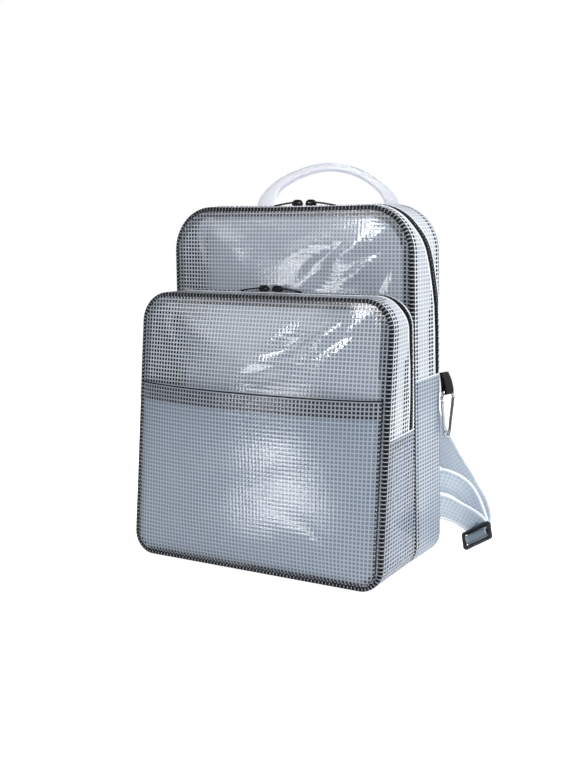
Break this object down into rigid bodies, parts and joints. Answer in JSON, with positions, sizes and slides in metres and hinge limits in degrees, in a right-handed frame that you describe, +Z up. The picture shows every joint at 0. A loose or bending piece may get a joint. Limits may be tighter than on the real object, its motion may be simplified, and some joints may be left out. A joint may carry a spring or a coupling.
{
  "type": "antistatic tool backpack",
  "caption": "Antistatic tool backpack of clear thread-reinforced film with a zipped main compartment, zipped front pocket, slip pocket, carry handle, shoulder straps and a side carabiner.",
  "frame": {"origin": "on the floor under the middle of the main compartment's depth and width", "axes": "X across the bag, towards the side that carries the carabiner, -Y out of the front pocket, +Z up"},
  "size_m": [0.4144, 0.2258, 0.4319],
  "materials": {
    "clear_film": "clear gloss film with a white thread grid",
    "strap_film": "satin film, folded and stitched",
    "pad_film": "soft padded film",
    "black_tape": "woven tape",
    "zip_nylon": "satin nylon coil",
    "black_lacquer": "gloss lacquer",
    "black_acetal": "satin moulding",
    "bright_steel": "bright plated wire"
  },
  "bodies": {
    "bag": {"main_front_panel": "clear_film", "main_back_panel": "pad_film", "main_zip_band_front": "clear_film", "main_zip_band_rear": "clear_film", "main_base_band": "clear_film", "main_zip_chain": "zip_nylon", "main_front_binding": "black_tape", "main_back_binding": "black_tape", "pocket_front_panel": "clear_film", "pocket_zip_band_front": "clear_film", "pocket_zip_band_rear": "clear_film", "pocket_base_band": "clear_film", "pocket_zip_chain": "zip_nylon", "pocket_front_binding": "black_tape", "slip_pocket_panel": "clear_film", "slip_pocket_hem": "black_tape", "main_zip_right_slider": "black_lacquer", "main_zip_left_slider": "black_lacquer", "pocket_zip_right_slider": "black_lacquer", "pocket_zip_left_slider": "black_lacquer", "carry_handle": "strap_film", "shoulder_strap_right": "strap_film", "shoulder_strap_left": "strap_film", "lower_strap_right": "strap_film", "lower_strap_left": "strap_film", "strap_slider_right": "black_acetal", "strap_slider_left": "black_acetal", "side_tab": "black_tape"},
    "carabiner": {"carabiner_body": "bright_steel"},
    "gate": {"carabiner_gate": "bright_steel"},
    "main_right_pull": {"main_zip_right_pull": "black_lacquer"},
    "main_left_pull": {"main_zip_left_pull": "black_lacquer"},
    "pocket_right_pull": {"pocket_zip_right_pull": "black_lacquer"},
    "pocket_left_pull": {"pocket_zip_left_pull": "black_lacquer"}
  },
  "joints": [
    {"name": "carabiner_swing", "type": "hinge", "parent": "bag", "child": "carabiner", "pos_m": [0.1594, 0.0365, 0.1846], "axis": [-0.2588, -0.9659, 0], "range_deg": [0, 95]},
    {"name": "gate_hinge", "type": "hinge", "parent": "carabiner", "child": "gate", "pos_m": [0.15821, 0.03206, 0.1404], "axis": [-0.9659, 0.2588, 0], "range_deg": [0, 22], "stiffness_Nm_per_rad": 0.02},
    {"name": "main_right_pull_hinge", "type": "hinge", "parent": "bag", "child": "main_right_pull", "pos_m": [0.018, -0.01139, 0.39053], "axis": [0, -1, 0], "range_deg": [0, 100]},
    {"name": "main_left_pull_hinge", "type": "hinge", "parent": "bag", "child": "main_left_pull", "pos_m": [0.001, -0.01139, 0.3905], "axis": [0, 1, 0], "range_deg": [0, 100]},
    {"name": "pocket_right_pull_hinge", "type": "hinge", "parent": "bag", "child": "pocket_right_pull", "pos_m": [-0.003, -0.04995, 0.299], "axis": [0, -1, 0], "range_deg": [0, 100]},
    {"name": "pocket_left_pull_hinge", "type": "hinge", "parent": "bag", "child": "pocket_left_pull", "pos_m": [-0.02, -0.04995, 0.299], "axis": [0, 1, 0], "range_deg": [0, 100]}
  ]
}
